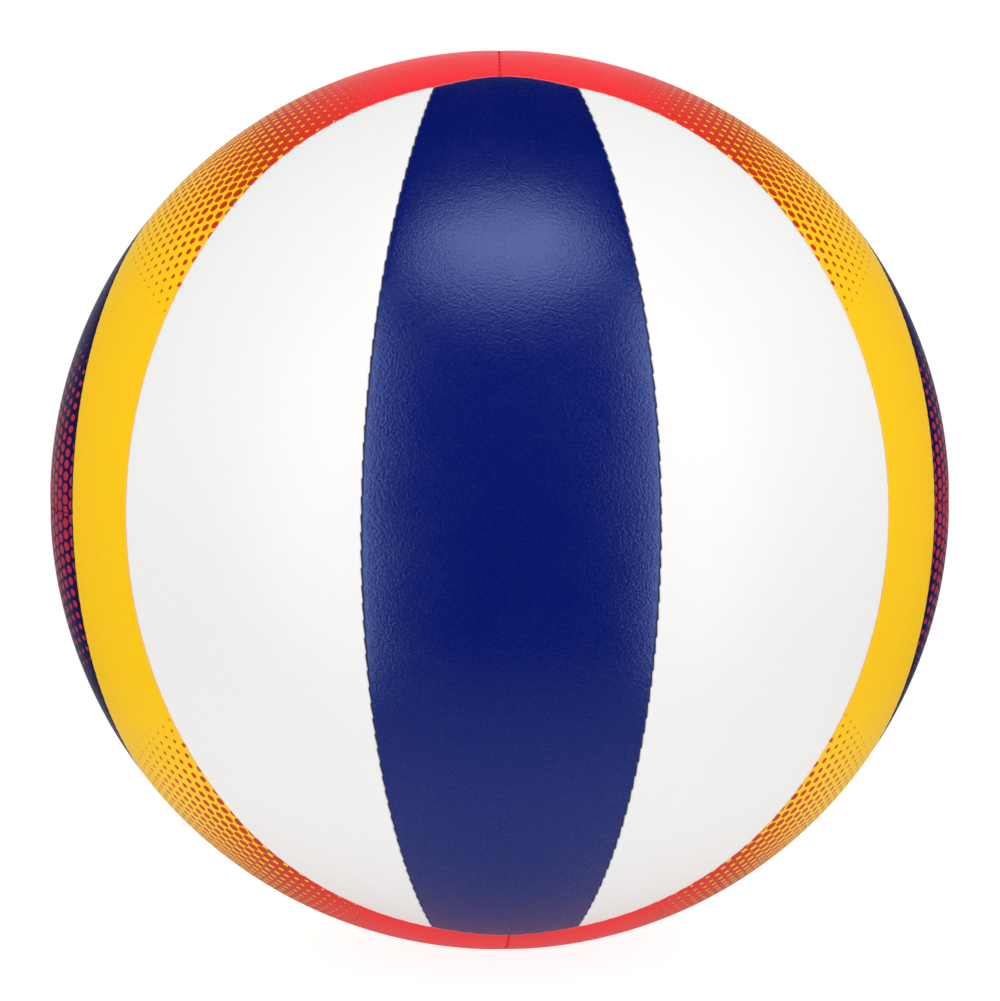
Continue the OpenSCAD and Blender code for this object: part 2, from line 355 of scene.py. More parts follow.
@dataclass(frozen=True)
class Layout:
    """The seams of the front half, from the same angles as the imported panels."""

    oval_side: float = radians(49.8)
    oval_end: float = radians(62.6)
    side_lean: float = radians(24)
    strip_middle: float = radians(16)
    strip_lean: float = radians(15.2)
    waist: float = radians(64.1)
    cap_stitches: int = 4
    corner_stitches: int = 15
    side_stitches: int = 21
    strip_stitches: int = 63
    lobe_stitches: int = 28
    band_stitches: int = 28
    oval_cuts: int = 7
    strip_cuts: int = 8
    lobe_cuts: int = 5
    band_cuts: int = 4

    @property
    def end_circle(self) -> tuple[Array, float, float]:
        """The circles of the oval's upper end arc and side arc.

        Returns:
            The end arc's axis and angle, and the side arc's angle.
        """
        side_angle = self.oval_side + self.side_lean
        spare = side_angle - self.oval_end
        lean = atan((cos(spare) - cos(self.side_lean)) / sin(spare))
        return np.array([0, -cos(lean), sin(lean)]), self.oval_end - lean, side_angle

    @property
    def side_axis(self) -> Array:
        """The axis of the oval's side arc, on the right-hand side."""
        return np.array([-sin(self.side_lean), -cos(self.side_lean), 0])

    def strip_end(self, axis: Array, angle: float) -> Array:
        """Where a circle beside the centre strip meets the oval's upper end arc."""
        foot, rise = crossing(*self.end_circle[:2], axis, angle)
        return foot + rise

    def strip_circle(self, drift: Drift) -> tuple[Array, float]:
        """The circle of the strip's seam, through its drifted top, middle and foot.

        Args:
            drift: That side's drift.

        Returns:
            The circle's axis and angle.
        """
        drawn_axis = np.array([cos(self.strip_lean), sin(self.strip_lean), 0])
        drawn_end = self.strip_end(drawn_axis, radians(90) - self.strip_middle + self.strip_lean)
        middle = np.array([sin(self.strip_middle), -cos(self.strip_middle), 0])
        out = np.array([1, 0, 0]) / BALL_R
        top = unit(drawn_end + out * drift.strip_top)
        middle = unit(middle + out * drift.strip_middle)
        foot = unit(drawn_end * UPSIDE_DOWN + out * drift.strip_foot)
        axis = unit(np.cross(middle - top, foot - top))
        axis = axis if axis[0] > 0 else -axis
        return axis, acos(axis @ middle)

    def end_seams(self, axis: Array, angle: float, cap: float, shift: float) -> dict[str, Seam]:
        """The seams at the oval's upper end, on the right-hand side.

        Args:
            axis: The axis of the strip seam's circle.
            angle: That circle's angle.
            cap: How far the end arc bulges over the centre strip, in metres.
            shift: How far the band's end seam lies outwards where it meets the oval, in metres.

        Returns:
            The oval's end arc over the centre strip (cap) and over the side strip (corner), and the
            band's own end seam (band).
        """
        end_axis, end_angle, side_angle = self.end_circle
        side_axis = self.side_axis
        toward_end = unit(end_axis - side_axis * (end_axis @ side_axis))
        oval_corner = side_axis * cos(side_angle) + toward_end * sin(side_angle)
        top = self.strip_end(axis, angle)
        bow = Bow(top * np.array([-1, 1, 1]), top, middle=cap / BALL_R)
        turn = atan(shift / BALL_R / cos(self.oval_end))
        east, south = cos(turn), sin(turn)
        end_middle = np.array([south, -east, 0]) * cos(self.oval_end)
        lobe_top = np.array([-south, east, 0]) * cos(self.waist)
        end_middle[2], lobe_top[2] = sin(self.oval_end), sin(self.waist)
        return {
            "cap": Seam(end_axis, end_angle, end_middle, top, self.cap_stitches, self.oval_cuts,
                        Stitching.PLAIN, bow),
            "corner": Seam(end_axis, end_angle, top, oval_corner, self.corner_stitches, self.oval_cuts,
                           Stitching.PLAIN),
            "band": Seam(np.array([east, south, 0]), radians(90), lobe_top, end_middle,
                         self.band_stitches, self.band_cuts, Stitching.BAND_END),
        }

    def seams(self, drift: Drift) -> dict[str, Seam]:
        """The right-hand side's seams, as one side's drift places them.

        Args:
            drift: That side's drift.

        Returns:
            end_seams' three, half of the oval's side arc (side), two quarters of the seam between the
            halves (front_lobe, rear_lobe), the like lower ones (low_ before the name) and the whole strip.
        """
        axis, angle = self.strip_circle(drift)
        upper = self.end_seams(axis, angle, drift.cap_top, drift.end_top)
        lower = self.end_seams(axis * UPSIDE_DOWN, angle, drift.cap_foot, drift.end_foot)
        _, _, side_angle = self.end_circle
        side_middle = np.array([sin(self.oval_side), -cos(self.oval_side), 0])
        lobe_lean = atan((sin(self.waist) - sqrt(1 / 2)) / cos(self.waist))
        lobe_angle = radians(90) - self.waist + lobe_lean
        lobe_turn = unit(np.array([1, 0, 1]))
        lobe_top = np.array([0, cos(self.waist), sin(self.waist)])
        waist_middle = np.array([sin(self.waist), -cos(self.waist), 0])
        rear_axis = np.array([cos(lobe_lean), sin(lobe_lean), 0])
        front_axis = np.array([0, -sin(lobe_lean), cos(lobe_lean)])
        sides = {
            "side": Seam(self.side_axis, side_angle, upper["corner"].end, side_middle, self.side_stitches,
                         self.oval_cuts, Stitching.PLAIN),
            "front_lobe": Seam(front_axis, lobe_angle, lobe_top, lobe_turn, self.lobe_stitches,
                               self.lobe_cuts, Stitching.PLAIN),
            "rear_lobe": Seam(rear_axis, lobe_angle, waist_middle, lobe_turn, self.lobe_stitches,
                              self.lobe_cuts, Stitching.PLAIN),
        }
        top, foot = upper["cap"].end, lower["cap"].end * UPSIDE_DOWN
        bow = Bow(top, foot, tilt=-drift.strip_tilt / BALL_R, quarters=-drift.strip_quarters / BALL_R)
        strip = Seam(axis, angle, top, foot, self.strip_stitches, self.strip_cuts, Stitching.STRIP, bow)
        low = {f"low_{name}": seam.flipped(z=-1) for name, seam in {**sides, **lower}.items()}
        return {**upper, **sides, **low, "strip": strip}


@dataclass(frozen=True)
class SkinEdge:
    """How a skin runs out to a seam, rolls over and turns in. All in metres."""

    margin: float = 1.6 * MM
    shoulder: float = 0.36 * MM
    gap: float = 0.08 * MM
    crown: float = 0.12 * MM
    crown_reach: float = 2.5 * MM
    thickness: float = 0.8 * MM
    turn_in: float = 3.8 * MM
    wall_step: float = 1.2 * MM
    near_reach: float = 0.5 * MM
    insets: tuple[float, ...] = (1.2 * MM, 0.9 * MM, 0.68 * MM, 0.5 * MM, 0.37 * MM, 0.25 * MM,
                                 0.15 * MM, 0.08 * MM)

    def drop(self, inset: Array) -> Array:
        """How far the surface lies under the ball's sphere, at distances from the seam."""
        into = np.clip(1 - inset / self.shoulder, 0, 1)
        return self.shoulder * (1 - np.sqrt(1 - into * into)) + self.crown * np.exp(-inset / self.crown_reach)

    def levels(self) -> list[tuple[float, float]]:
        """The rings round a skin, outwards over the shoulder, down the wall and back under the sheet.

        Returns:
            The inset and the depth of each ring.
        """
        edge = self.gap / 2
        over = [(inset, float(self.drop(np.array(inset)))) for inset in (*self.insets, edge)]
        inner = edge + self.thickness
        wall = [(edge, self.wall_step), (edge, self.turn_in), (inner, self.turn_in)]
        return [*over, *wall, (inner, self.wall_step + self.thickness / 2)]


@dataclass(frozen=True)
class Panel:
    """A skin panel: a sheet inside a closed outline of seams, with its edges turned in."""

    name: str
    runs: tuple[Run, ...]
    across: int
    along: int
    first_corner: int
    edge: SkinEdge = SkinEdge()
    coarse: int = 4

    def ring(self, inset: float) -> Array:
        """The outline drawn in, with the thread's teeth in it near the seam.

        Args:
            inset: How far it is drawn in, in metres.

        Returns:
            The direction of each vertex round it.
        """
        corners = [corner(self.runs[i - 1], run, inset) for i, run in enumerate(self.runs)]
        fade = exp(-((inset / self.edge.near_reach) ** 2))
        points = []
        for i, run in enumerate(self.runs):
            seam = run.seam
            start, end = seam.azimuth(corners[i]), seam.azimuth(corners[(i + 1) % len(corners)])
            step, phase = run.steps
            turn = start + (end - start) * step / seam.edges
            taper = np.clip(np.minimum(step, seam.edges - step) / seam.cuts, 0, 1)
            tooth = seam.stitching.value.tooth * (0.5 - phase) * taper * fade
            angle = run.drawn_angle(inset, turn) + seam.lean * tooth / BALL_R
            points.append(np.outer(np.cos(angle), seam.axis) + seam.spoke(turn) * np.sin(angle)[:, None])
        return np.concatenate(points)

    def puckers(self, inset: float) -> Array:
        """How much deeper the thread pulls the vertices of a ring.

        Args:
            inset: The ring's distance from the seam.

        Returns:
            The pull on each, in metres.
        """
        share = max(0.0, 1 - inset / self.edge.margin) ** 2
        return share * np.concatenate([
            run.seam.stitching.value.pucker * np.maximum(0, np.cos(2 * pi * run.steps[1])) ** 2
            for run in self.runs])

    def patch(self, ring: Array, columns: Array, rows: Array, skip: int) -> tuple[Array, Array]:
        """Lays a grid inside a ring, blended from its four sides.

        Args:
            ring: The ring's directions.
            columns: Each vertex's column across the grid.
            rows: Each vertex's row along it.
            skip: How many ring vertices one column or row spans.

        Returns:
            Each vertex's direction, and the number of the ring vertex that a border vertex meets.
        """
        wide, high = self.across // skip, self.along // skip
        u, v = (columns / wide)[:, None], (rows / high)[:, None]
        steps = (columns, wide + rows, 2 * wide + high - columns, 2 * (wide + high) - rows,
                 *(np.array([i]) for i in (0, wide, wide + high, 2 * wide + high)))
        meets = [(self.first_corner + step * skip) % len(ring) for step in steps]
        low, right, top, left, *ends = (ring[meet] for meet in meets)
        flat = (1 - u) * (1 - v) * ends[0] + u * (1 - v) * ends[1] + u * v * ends[2] + (1 - u) * v * ends[3]
        around = np.select([rows == 0, columns == wide, rows == high], meets[:3], meets[3])
        return unit((1 - v) * low + v * top + (1 - u) * left + u * right - flat), around

    def sheet(self, inset: float, depth: float, skip: int) -> Piece:
        """A grid of quads laid on the ball inside the drawn-in outline.

        Args:
            inset: How far the sheet's border lies from the seam.
            depth: How far it lies under the ball's surface. 0 is the outer face, which drops to the seams.
            skip: How many edges of the outline one of its edges spans.

        Returns:
            The new object, with its border's place round the outline in the attribute around.
        """
        wide, high = self.across // skip, self.along // skip
        bpy.ops.object.select_all(action="DESELECT")
        bpy.ops.mesh.primitive_grid_add(x_subdivisions=wide, y_subdivisions=high, size=2)
        sheet = bpy.context.object
        flat = (read(sheet.data.vertices, "co", 3) + 1) / 2
        columns, rows = np.rint(flat[:, 0] * wide).astype(int), np.rint(flat[:, 1] * high).astype(int)
        directions, around = self.patch(self.ring(inset), columns, rows, skip)
        drop = depth or self.edge.drop(distance(directions, self.runs))
        sheet.data.vertices.foreach_set("co", (directions * np.reshape(BALL_R - drop, (-1, 1))).ravel())
        sheet.data.attributes.new("around", "INT", "POINT").data.foreach_set("value", around)
        # seam_near also places the painted seam shade and highlight, so band ends are left out of it.
        near = np.exp(-distance(directions, [run for run in self.runs if run.takes_painted_seam_light]) / self.edge.near_reach)
        sheet.data.attributes.new("seam_near", "FLOAT", "POINT").data.foreach_set("value", near)
        sheet.data.update()
        return sheet

    def turn_edges_in(self, skin: Piece) -> None:
        """Extrudes the border of the sheet ring by ring, over the shoulder and down the wall.

        Args:
            skin: The sheet.
        """
        for number, (inset, depth) in enumerate(self.edge.levels()):
            with edit_mode(skin, all_selected=number == 0):
                if number == 0:
                    bpy.ops.mesh.select_mode(type="EDGE")
                    bpy.ops.mesh.region_to_loop()
                bpy.ops.mesh.extrude_region()
            self.place_ring(skin.data, inset, depth, number <= len(self.edge.insets))

    def place_ring(self, mesh: bpy.types.Mesh, inset: float, depth: float, sewn: bool) -> None:
        """Moves the ring that was extruded last, the mesh's selected vertices, to its place.

        Args:
            mesh: The skin's mesh.
            inset: The ring's distance from the seam.
            depth: Its depth under the ball's surface.
            sewn: Whether the thread's puckers reach it.
        """
        chosen = read(mesh.vertices, "select", kind=bool)
        around = read(mesh.attributes["around"].data, "value", kind=np.int32)[chosen]
        places = read(mesh.vertices, "co", 3)
        pull = self.puckers(inset) if sewn else 0.0
        places[chosen] = (self.ring(inset) * np.reshape(BALL_R - depth - pull, (-1, 1)))[around]
        mesh.vertices.foreach_set("co", places.ravel())
        near = read(mesh.attributes["seam_near"].data, "value")
        level = exp(-inset / self.edge.near_reach) if sewn else 1.0
        # Band-end rings get 0 here, so they get no painted seam shade or highlight.
        shown = [np.full(run.seam.edges, level * run.takes_painted_seam_light) for run in self.runs]
        near[chosen] = np.concatenate(shown)[around]
        mesh.attributes["seam_near"].data.foreach_set("value", near)
        mesh.update()

    def build(self) -> Piece:
        """Makes the sheet, its turned-in edges and the sheet's underside, closed all round.

        Returns:
            The skin.
        """
        skin = self.sheet(self.edge.margin, 0, 1)
        skin.name = self.name
        self.turn_edges_in(skin)
        under = self.sheet(self.edge.margin + self.edge.thickness, self.edge.thickness, self.coarse)
        with edit_mode(under):
            bpy.ops.mesh.flip_normals()
        select_only(skin)
        under.select_set(True)
        bpy.ops.object.join()
        with edit_mode(skin):
            bpy.ops.mesh.select_non_manifold(extend=False, use_wire=False, use_boundary=True,
                                             use_multi_face=False, use_non_contiguous=False, use_verts=False)
            bpy.ops.mesh.bridge_edge_loops()
            bpy.ops.mesh.select_all(action="SELECT")
            bpy.ops.mesh.normals_make_consistent(inside=False)
        skin.data.attributes.remove(skin.data.attributes["around"])
        bpy.ops.object.shade_smooth_by_angle(angle=SMOOTH_BELOW)
        return skin


def turned_copy(skin: Piece, name: str) -> Piece:
    """A copy of a front piece, turned on to the rear half of the ball.

    Args:
        skin: The front piece.
        name: The copy's name.

    Returns:
        The copy, with the turn in its own mesh.
    """
    select_only(skin)
    bpy.ops.object.duplicate()
    copy = bpy.context.object
    copy.name = name
    copy.data.transform(HALF_TURN)
    return copy


class ShaderTree:
    """A material's or world's node tree, emptied and ready to be written as expressions."""

    def __init__(self, owner: bpy.types.Material | bpy.types.World) -> None:
        """Empties a tree.

        Args:
            owner: The material or world whose tree it is.
        """
        owner.use_nodes = True
        self.tree = owner.node_tree
        self.tree.nodes.clear()

    def node(self, kind: str, settings: dict | None = None, **values: object) -> bpy.types.Node:
        """Adds a node of any type.

        Args:
            kind: The node's type, without the word ShaderNode.
            settings: Its own settings, which are set first.
            values: A value or a Value for each input socket, by its name with underscores.

        Returns:
            The new node.
        """
        made = self.tree.nodes.new("ShaderNode" + kind)
        for name, setting in (settings or {}).items():
            setattr(made, name, setting)
        for name, value in values.items():
            socket = next(s for s in made.inputs if s.enabled and s.name.replace(" ", "_") == name)
            self.feed(socket, value)
        return made

    def feed(self, socket: bpy.types.NodeSocket, value: object) -> None:
        """Links a Value to a socket, or sets the socket.

        Args:
            socket: The socket.
            value: The Value, or a number, colour or vector.
        """
        if isinstance(value, Value):
            self.tree.links.new(value.socket, socket)
        elif socket.type == "RGBA":
            socket.default_value = (*value, 1.0)
        else:
            socket.default_value = value

    def value(self, kind: str, output: str, settings: dict | None = None, **values: object) -> "Value":
        """Adds a node, as node does, and wraps one of its outputs."""
        made = self.node(kind, settings, **values)
        return Value(self, next(s for s in made.outputs if s.enabled and s.name == output))

    def math(self, operation: str, *operands: object) -> "Value":
        """Adds a Math node.

        Args:
            operation: Its operation.
            operands: Numbers and Values.

        Returns:
            Its result.
        """
        made = self.node("Math", {"operation": operation})
        for socket, operand in zip(made.inputs, operands):
            self.feed(socket, operand)
        return Value(self, made.outputs[0])

    def place(self) -> "Value":
        """The point on the surface, in metres from the ball's centre."""
        return self.value("TexCoord", "Object")

    def ray(self, kind: str) -> "Value":
        """1 for rays of a kind, such as Camera or Glossy, and 0 for all others."""
        return self.value("LightPath", f"Is {kind} Ray")

    def noise(self, scale: float, detail: float = 2.0, roughness: float = 0.5) -> "Value":
        """Noise from 0 to 1, with scale clouds to a metre."""
        return self.value("TexNoise", "Fac", Vector=self.place(), Scale=scale, Detail=detail,
                          Roughness=roughness)

    def bump(self, height: "Value", tall: float, strength: float = 1.0) -> "Value":
        """The normal over a height that stands this tall at 1, in metres."""
        return self.value("Bump", "Normal", Height=height, Distance=tall, Strength=strength)

    def paint(self, **values: object) -> None:
        """Ends the material with a Principled shader, fed as node feeds one."""
        surface = self.node("BsdfPrincipled", **values)
        self.node("OutputMaterial", Surface=Value(self, surface.outputs[0]))

    def split(self, vector: "Value") -> tuple["Value", "Value", "Value"]:
        """The three numbers of a vector."""
        made = self.node("SeparateXYZ", Vector=vector)
        return tuple(Value(self, s) for s in made.outputs)

    def along(self, vector: "Value", direction: Sequence[float]) -> "Value":
        """How far a vector reaches in a direction.

        Args:
            vector: The vector.
            direction: The direction, one long.

        Returns:
            The reach.
        """
        made = self.node("VectorMath", {"operation": "DOT_PRODUCT"}, Vector=vector)
        made.inputs[1].default_value = direction
        return Value(self, made.outputs["Value"])

    def blend(self, factor: "Value", first: object, second: object, mode: str = "MIX") -> "Value":
        """Mixes two colours.

        Args:
            factor: How much the second one counts.
            first: A colour, or its Value.
            second: Another.
            mode: MIX, or MULTIPLY to tint the first with the second.

        Returns:
            The colour.
        """
        made = self.node("Mix", {"data_type": "RGBA", "blend_type": mode})
        named = {s.identifier: s for s in made.inputs}
        self.feed(named["Factor_Float"], factor)
        self.feed(named["A_Color"], first)
        self.feed(named["B_Color"], second)
        return Value(self, next(s for s in made.outputs if s.identifier == "Result_Color"))


def operator(operation: str, swapped: bool = False) -> Callable[..., "Value"]:
    """Makes a method of Value that adds a Math node.

    Args:
        operation: The node's operation.
        swapped: Whether the Value is its second operand.

    Returns:
        The method.
    """
    def method(self: "Value", *others: object) -> "Value":
        """The node's result."""
        return self.tree.math(operation, *((*others, self) if swapped else (self, *others)))
    return method


class Value:
    """One output socket. Python's operators on it add Math nodes."""

    __add__ = __radd__ = operator("ADD")
    __sub__, __rsub__ = operator("SUBTRACT"), operator("SUBTRACT", swapped=True)
    __mul__ = __rmul__ = operator("MULTIPLY")
    __truediv__ = operator("DIVIDE")
    __abs__ = operator("ABSOLUTE")

    def __init__(self, tree: ShaderTree, socket: bpy.types.NodeSocket) -> None:
        """Wraps a socket of a tree's node."""
        self.tree = tree
        self.socket = socket

    def clamped(self) -> "Value":
        """The value kept from 0 to 1."""
        return self.tree.math("MINIMUM", self.tree.math("MAXIMUM", self, 0.0), 1.0)

    def ramp(self, start: float, span: float) -> "Value":
        """0 as far as start, and from there up to 1 over a span."""
        return ((self - start) / span).clamped()

    def from_nearest_whole(self) -> "Value":
        """How far the value is from the nearest whole number."""
        return self - self.tree.math("ROUND", self)


@dataclass(frozen=True)
class DotPrint:
    """Round dots on a square lattice that shrink away from the end of a band.

    The lattice is laid out flat round one point of each quarter of the ball, so its rows bend a little
    with the ball, and the quarters mirror each other. A turned print lies on the rear half.
    """

    pitch: float = 2.86 * MM
    middle: tuple[float, float, float] = (0.678, -0.455, 0.578)
    row_turn: float = radians(18)
    fade_start: float = radians(60)
    fade_end: float = radians(15.5)
    fullest: float = 0.5
    fade_power: float = 4 / 3
    fade_slant: float = radians(12)
    slant_middle: float = -0.45
    softness: float = 0.035
    turned: bool = False
    stretch: float = 1.0
    stagger: float = 0.0
    thin_until: float = 0.25
    thick_after: float = 0.25
    thin_ink: Colour = srgb(200, 50, 4)
    full_ink: Colour = srgb(252, 34, 44)

    def printed(self, tree: ShaderTree, ground: Colour) -> Value:
        """The leather's colour with the dots on it.

        Args:
            tree: The material's tree.
            ground: The colour under the dots.

        Returns:
            The printed colour.
        """
        heading = tree.value("VectorMath", "Vector", {"operation": "NORMALIZE"}, Vector=tree.place())
        x, y, z = tree.split(heading)
        if self.turned:
            x, y, z = z, y * -1.0, x
        x, z = abs(x), abs(z)
        folded = tree.value("CombineXYZ", "Vector", X=x, Y=y, Z=z)
        middle = Vector(self.middle).normalized()
        up = (Vector((0, 0, 1)) - middle * middle.z).normalized()
        inward = middle.cross(up)
        row = inward * cos(self.row_turn) + up * sin(self.row_turn)
        column = middle.cross(row)
        away = tree.math("ARCCOSINE", tree.math("MINIMUM", tree.along(folded, middle), 1.0))
        spread = away / tree.math("MAXIMUM", tree.math("SINE", away), 1e-4) * (BALL_R / self.pitch)
        down = tree.along(folded, column) * spread / self.stretch
        across = tree.along(folded, row) * spread + tree.math("ROUND", down) * self.stagger
        across, down = across.from_nearest_whole(), down.from_nearest_whole()
        from_end = tree.math("ARCTAN2", x, z)
        from_end = from_end + (y - self.slant_middle) * self.fade_slant
        inward_share = (self.fade_start - from_end) / (self.fade_start - self.fade_end)
        size = tree.math("POWER", tree.math("MAXIMUM", inward_share, 0.0), self.fade_power) * self.fullest
        edge = (size - (across * across + down * down)) / self.softness
        mask = (edge + tree.math("MINIMUM", size / self.softness, 0.5)).clamped()
        ink = tree.blend(size.ramp(self.thin_until, self.thick_after), self.thin_ink, self.full_ink)
        return tree.blend(mask, ground, ink)


@dataclass(frozen=True)
class Finish:
    """A material, by its slot's name and its main colour."""

    name: str
    colour: Colour

    def fill(self, tree: ShaderTree) -> None:
        """Fills the material's empty tree. Each kind of finish does it in its own way."""
        raise NotImplementedError

    def material(self) -> bpy.types.Material:
        """Makes the material.

        Returns:
            The finish's procedural material.
        """
        made = bpy.data.materials.new(self.name)
        self.fill(ShaderTree(made))
        return made


@dataclass(frozen=True)
class Leather(Finish):
    """Synthetic leather: a coloured coat with a fine pebble grain, and a colour painted along the seams for
    their light: painted shade where that colour is dark, a painted highlight where it is light.
    """

    dots: DotPrint | None = None
    gloss: float = 0.3
    gloss_tint: Colour = (1.0, 1.0, 1.0)
    sheen: float = 0.0
    # The seam colour and its share, reach and fade are painted light. The default grey is painted shade in the
    # seam's groove.
    painted_seam_light_colour: Colour = (0.55, 0.55, 0.56)
    painted_seam_light_share: float = 0.3
    painted_seam_light_reach: float = 0.3 * MM
    painted_seam_light_fade: float = 0.2
    edge_roughness: float = 0.45
    roughness: float = 0.38
    grain_pitch: float = 0.52 * MM
    grain_depth: float = 0.06 * MM
    cell_height: float = 0.45
    fine_height: float = 0.9
    seam_flatness: float = 0.7
    fine_scale: float = 0.9
    least_grain: float = 0.55
    more_grain: float = 0.9
    patches: float = 90.0
    clouds: float = 22.0
    wear: float = 0.4
    worn_tint: Colour = (0.94, 0.94, 0.94)
    patchy_swing: float = 0.1
    fine_swing: float = 0.2
    sparkle: float = 0.5
    sparkle_contrast: float = 3.0

    def fill(self, tree: ShaderTree) -> None:
        """Grain from cells and fine noise, uneven over the ball and pressed flatter at the seams.

        Args:
            tree: The material's empty tree.
        """
        cells = tree.value("TexVoronoi", "Distance", {"feature": "SMOOTH_F1"}, Vector=tree.place(),
                           Scale=1 / self.grain_pitch, Smoothness=0.6, Randomness=1.0)
        fine = tree.noise(self.fine_scale / self.grain_pitch, 3.0, 0.55)
        patchy, broad = tree.noise(self.patches), tree.noise(self.clouds)
        near = tree.value("Attribute", "Fac", {"attribute_name": "seam_near"})
        grain = cells * self.cell_height + fine * self.fine_height
        grain = grain * (self.least_grain + patchy * self.more_grain)
        height = grain * (1 - near * self.seam_flatness)
        colour = self.dots.printed(tree, self.colour) if self.dots else self.colour
        worn = tree.blend(broad * self.wear, colour, self.worn_tint, "MULTIPLY")
        # Painted light at the seams: near a seam the colour is blended towards the seam colour. Where that
        # colour is dark it is painted shade in the groove, and where it is light it is a painted highlight on
        # the rolled edge.
        reached = exp(-self.painted_seam_light_reach / SkinEdge.near_reach)
        painted_seam_light_mask = near.ramp(reached, self.painted_seam_light_fade)
        rough = self.roughness + (patchy - 0.5) * self.patchy_swing + (fine - 0.5) * self.fine_swing
        tree.paint(Base_Color=tree.blend(painted_seam_light_mask * self.painted_seam_light_share, worn, self.painted_seam_light_colour),
                   Roughness=rough + painted_seam_light_mask * (self.painted_seam_light_share * self.edge_roughness),
                   Normal=tree.bump(height, self.grain_depth), Specular_IOR_Level=self.gloss,
                   Specular_Tint=self.gloss_tint, Sheen_Weight=self.sheen, Sheen_Roughness=0.35,
                   Coat_Weight=((fine - 0.5) * self.sparkle_contrast).clamped() * self.sparkle,
                   Coat_Roughness=0.25)


@dataclass(frozen=True)
class Foam(Finish):
    """Closed-cell foam: a pale matt mass with small round cells."""

    cell: float = 0.8 * MM
    relief: float = 0.1 * MM
    clouds: float = 60.0
    cell_shade: float = 0.35
    cloud_shade: float = 0.2
    shadow: float = 0.7
    roughness: float = 0.85

    def fill(self, tree: ShaderTree) -> None:
        """Cells in the bump and, with soft clouds, in the colour.

        Args:
            tree: The material's empty tree.
        """
        cells = tree.value("TexVoronoi", "Distance", Vector=tree.place(), Scale=1 / self.cell)
        shade = cells * self.cell_shade + tree.noise(self.clouds) * self.cloud_shade
        tree.paint(Base_Color=tree.blend(shade, self.colour, scaled(self.colour, self.shadow)),
                   Roughness=self.roughness + cells * 0.1, Normal=tree.bump(cells, self.relief, 0.6))


@dataclass(frozen=True)
class Cloth(Finish):
    """Plain woven cloth: crossing threads, laid along two turns round the ball."""

    thread: float = 0.45 * MM
    relief: float = 0.08 * MM
    level: float = 0.6
    crossing_rise: float = 0.4
    fuzz: float = 700.0
    fuzz_share: float = 0.3
    shadow: float = 0.6
    roughness: float = 0.8

    def fill(self, tree: ShaderTree) -> None:
        """Warp round the ball and weft up it, each over the other in turn, with some fuzz.

        Args:
            tree: The material's empty tree.
        """
        x, y, z = tree.split(tree.place())
        warp = tree.math("SINE", tree.math("ARCTAN2", x, y) * (BALL_R / self.thread * pi))
        weft = tree.math("SINE", z * (pi / self.thread))
        over, under = self.level + weft * self.crossing_rise, self.level - warp * self.crossing_rise
        height = tree.math("MAXIMUM", abs(warp) * over, abs(weft) * under)
        fuzz = tree.noise(self.fuzz)
        shade = (height * 0.6 + fuzz * self.fuzz_share).clamped()
        tree.paint(Base_Color=tree.blend(shade, scaled(self.colour, self.shadow), self.colour),
                   Roughness=self.roughness + fuzz * 0.15,
                   Normal=tree.bump(height + fuzz * self.fuzz_share, self.relief, 0.8))


@dataclass(frozen=True)
class Rubber(Finish):
    """Moulded rubber: dark, even, a little dusty and faintly mottled."""

    roughness: float = 0.55
    tooth: float = 1800.0
    relief: float = 0.02 * MM
    dust: float = 160.0
    dust_from: float = 0.35
    dust_share: float = 0.5
    dust_gain: float = 1.6

    def fill(self, tree: ShaderTree) -> None:
        """A fine tooth in the bump, and dust in the colour and roughness.

        Args:
            tree: The material's empty tree.
        """
        fine, dusty = tree.noise(self.tooth, 3.0), tree.noise(self.dust, 3.0)
        dust = tuple(level * self.dust_gain + 0.01 for level in self.colour)
        tree.paint(Base_Color=tree.blend((dusty - self.dust_from) * self.dust_share, self.colour, dust),
                   Roughness=self.roughness + (dusty - 0.5) * 0.2, Normal=tree.bump(fine, self.relief, 0.7))


@dataclass(frozen=True)
class Thread(Finish):
    """Waxed polyester thread: dark, with fine fibres and a faint sheen."""

    fibre: float = 0.12 * MM
    relief: float = 0.03 * MM
    shine: float = 2.2
    shine_share: float = 0.6
    roughness: float = 0.45

    def fill(self, tree: ShaderTree) -> None:
        """Fibres in the bump, colour and roughness.

        Args:
            tree: The material's empty tree.
        """
        fibres, bright = tree.noise(1 / self.fibre), scaled(self.colour, self.shine)
        tree.paint(Base_Color=tree.blend(fibres * self.shine_share, self.colour, bright),
                   Roughness=self.roughness + fibres * 0.2, Normal=tree.bump(fibres, self.relief))


def dress(piece: Piece, material: bpy.types.Material) -> None:
    """Gives a piece one material in place of any that it has."""
    piece.data.materials.clear()
    piece.data.materials.append(material)


def enrol(piece: Piece, slot: str, materials: Materials) -> None:
    """Dresses a piece in its slot's material and hangs it on the body.

    Args:
        piece: The finished piece.
        slot: Its slot's name.
        materials: The materials by slot.
    """
    dress(piece, materials[slot])
    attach(piece, ROOT)


